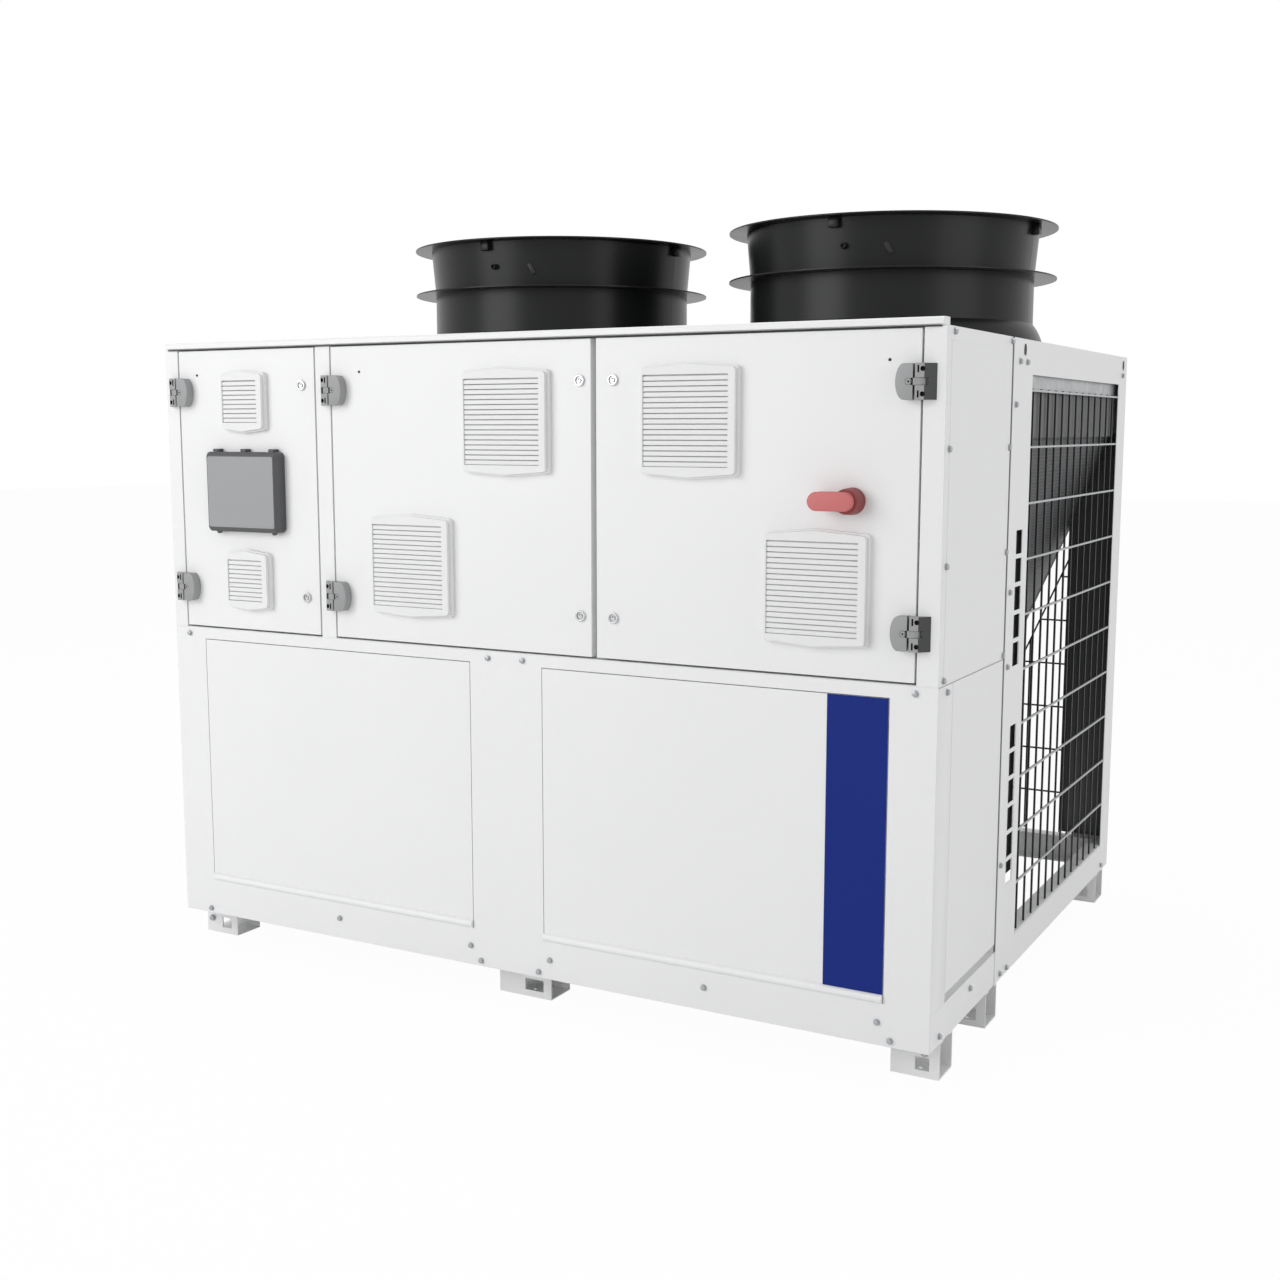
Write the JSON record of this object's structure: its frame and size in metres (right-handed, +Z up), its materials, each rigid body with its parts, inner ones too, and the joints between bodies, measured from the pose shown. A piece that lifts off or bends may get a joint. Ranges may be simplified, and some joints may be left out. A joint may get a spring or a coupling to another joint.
{
  "type": "air to water heat pump",
  "caption": "Outdoor air to water heat pump: boxed technical section with hinged doors in front, V coils behind wire guards, and roof fans in black ducts.",
  "frame": {"origin": "middle of the machine's outline, at floor level under the feet", "axes": "+X to the right along the front, +Y from the front to the rear, +Z up"},
  "size_m": [2.25, 1.831, 2.043],
  "materials": {
    "white_paint": "fine textured off-white powder coat",
    "foot_steel": "galvanised, light grey",
    "coil_fins": "close-set fins, dull",
    "zinc_sheet": "galvanised sheet",
    "black_wire": "black coated wire, level wires bright",
    "duct_black": "satin black moulding",
    "rotor_grey": "dark moulded blades",
    "motor_black": "black paint",
    "hinge_grey": "grey moulded plastic",
    "lock_zinc": "zinc casting",
    "grille_white": "light grey-white moulding",
    "display_grey": "grey moulding",
    "screen_dark": "dark screen",
    "handle_red": "red moulding",
    "band_blue": "blue trim"
  },
  "bodies": {
    "housing": {"feet": "foot_steel", "base_frame": "white_paint", "section_floor": "zinc_sheet", "lower_front_frame": "white_paint", "lower_left_panel": "white_paint", "lower_right_panel": "white_paint", "blue_band": "band_blue", "lower_side_panels": "white_paint", "upper_side_panels": "white_paint", "side_skirts": "white_paint", "section_rear_wall": "zinc_sheet", "cabinet_floor": "white_paint", "section_roof": "white_paint", "rain_strip": "white_paint", "front_posts": "white_paint", "door_frame": "white_paint", "cabinet_partition": "zinc_sheet", "mounting_plates": "zinc_sheet", "left_side_frame": "white_paint", "right_side_frame": "white_paint", "rear_posts": "white_paint", "rear_top_rail": "white_paint", "left_side_guard": "black_wire", "right_side_guard": "black_wire", "outer_rear_guards": "black_wire", "centre_rear_guard": "black_wire", "coil_beams": "zinc_sheet", "coils": "coil_fins", "plenum_plates": "zinc_sheet", "rear_coil_plates": "zinc_sheet", "fan_deck": "white_paint", "fan_bases": "duct_black", "left_fan_duct": "duct_black", "right_fan_duct": "duct_black", "fan_motors": "motor_black", "fan_rotors": "rotor_grey", "hinge_post_halves": "hinge_grey"},
    "left_leaf": {"left_door": "white_paint", "left_door_hinges": "hinge_grey", "left_door_locks": "lock_zinc", "left_door_grilles": "grille_white", "display_housing": "display_grey", "display_screen": "screen_dark"},
    "cover": {"display_cover": "display_grey"},
    "middle_leaf": {"middle_door": "white_paint", "middle_door_hinges": "hinge_grey", "middle_door_locks": "lock_zinc", "middle_door_grilles": "grille_white"},
    "right_leaf": {"right_door": "white_paint", "right_door_hinges": "hinge_grey", "right_door_locks": "lock_zinc", "right_door_grilles": "grille_white", "isolator_mount": "handle_red"},
    "lever": {"isolator_handle": "handle_red"}
  },
  "joints": [
    {"name": "left_door_hinge", "type": "hinge", "parent": "housing", "child": "left_leaf", "pos_m": [-1.0785, -0.868, 1.308], "axis": [0, 0, -1], "range_deg": [0, 110]},
    {"name": "display_cover_hinge", "type": "hinge", "parent": "left_leaf", "child": "cover", "pos_m": [-0.8335, -0.8698, 1.42], "axis": [-1, 0, 0], "range_deg": [0, 100]},
    {"name": "middle_door_hinge", "type": "hinge", "parent": "housing", "child": "middle_leaf", "pos_m": [-0.5385, -0.868, 1.308], "axis": [0, 0, -1], "range_deg": [0, 110]},
    {"name": "right_door_hinge", "type": "hinge", "parent": "housing", "child": "right_leaf", "pos_m": [1.0725, -0.868, 1.308], "axis": [0, 0, 1], "range_deg": [0, 110]},
    {"name": "isolator_turn", "type": "hinge", "parent": "right_leaf", "child": "lever", "pos_m": [0.92, -0.8695, 1.321], "axis": [0, 1, 0], "range_deg": [0, 90]}
  ]
}
